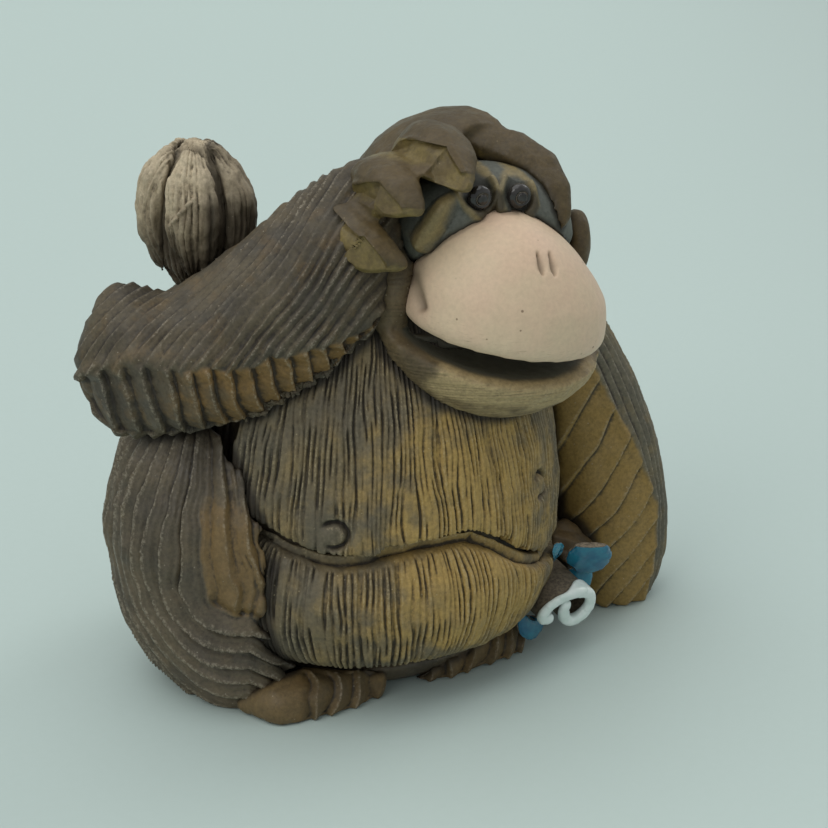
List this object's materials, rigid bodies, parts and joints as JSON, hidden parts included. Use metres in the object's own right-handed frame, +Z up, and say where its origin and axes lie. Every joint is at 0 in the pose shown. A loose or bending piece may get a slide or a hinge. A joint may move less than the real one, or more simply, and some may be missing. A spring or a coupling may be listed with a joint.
{
  "type": "hand-built clay ape figurine",
  "caption": "Sitting ape in hand-built fired clay, one hand laid on its head and the other holding a glazed flower. Free-standing ornament.",
  "frame": {"origin": "middle of the bottom of the whole figure, on the ground", "axes": "+Z up; the ape faces -Y and its right side is at -X"},
  "size_m": [0.1044, 0.0726, 0.0944],
  "materials": {
    "brown_clay": "matt, oxide-stained brown clay with pale rubbed ridges",
    "olive_clay": "smooth burnished olive brown clay",
    "combed_clay": "combed clay, golden brown with dark scratches",
    "bisque_clay": "smooth unglazed pale pink-beige clay",
    "tuft_clay": "pale clay with dark wash in the cuts",
    "eye_glaze": "dark glossy glaze",
    "blue_glaze": "glossy blue glaze",
    "white_glaze": "glossy white glaze"
  },
  "bodies": {
    "root": {"base_plate": "brown_clay", "belly_slab": "combed_clay", "chest_slab": "combed_clay", "face_mask": "brown_clay", "flower_throat": "white_glaze", "left_arm": "brown_clay", "left_ear": "olive_clay", "left_eye": "eye_glaze", "left_foot": "brown_clay", "left_hand": "brown_clay", "left_haunch": "brown_clay", "lower_jaw": "olive_clay", "muzzle": "bisque_clay", "petal_1": "blue_glaze", "petal_2": "blue_glaze", "petal_3": "blue_glaze", "petal_4": "blue_glaze", "right_arm": "brown_clay", "right_eye": "eye_glaze", "right_foot": "brown_clay", "right_haunch": "brown_clay", "right_index_finger": "olive_clay", "right_little_finger": "olive_clay", "right_middle_finger": "olive_clay", "right_palm": "olive_clay", "right_ring_finger": "olive_clay", "skull": "brown_clay", "tail": "brown_clay", "tail_tuft_core": "tuft_clay", "torso_back_shell": "brown_clay", "torso_front_shell": "brown_clay", "tuft_lock_1": "tuft_clay", "tuft_lock_2": "tuft_clay", "tuft_lock_3": "tuft_clay", "tuft_lock_4": "tuft_clay", "tuft_lock_5": "tuft_clay"}
  },
  "joints": []
}
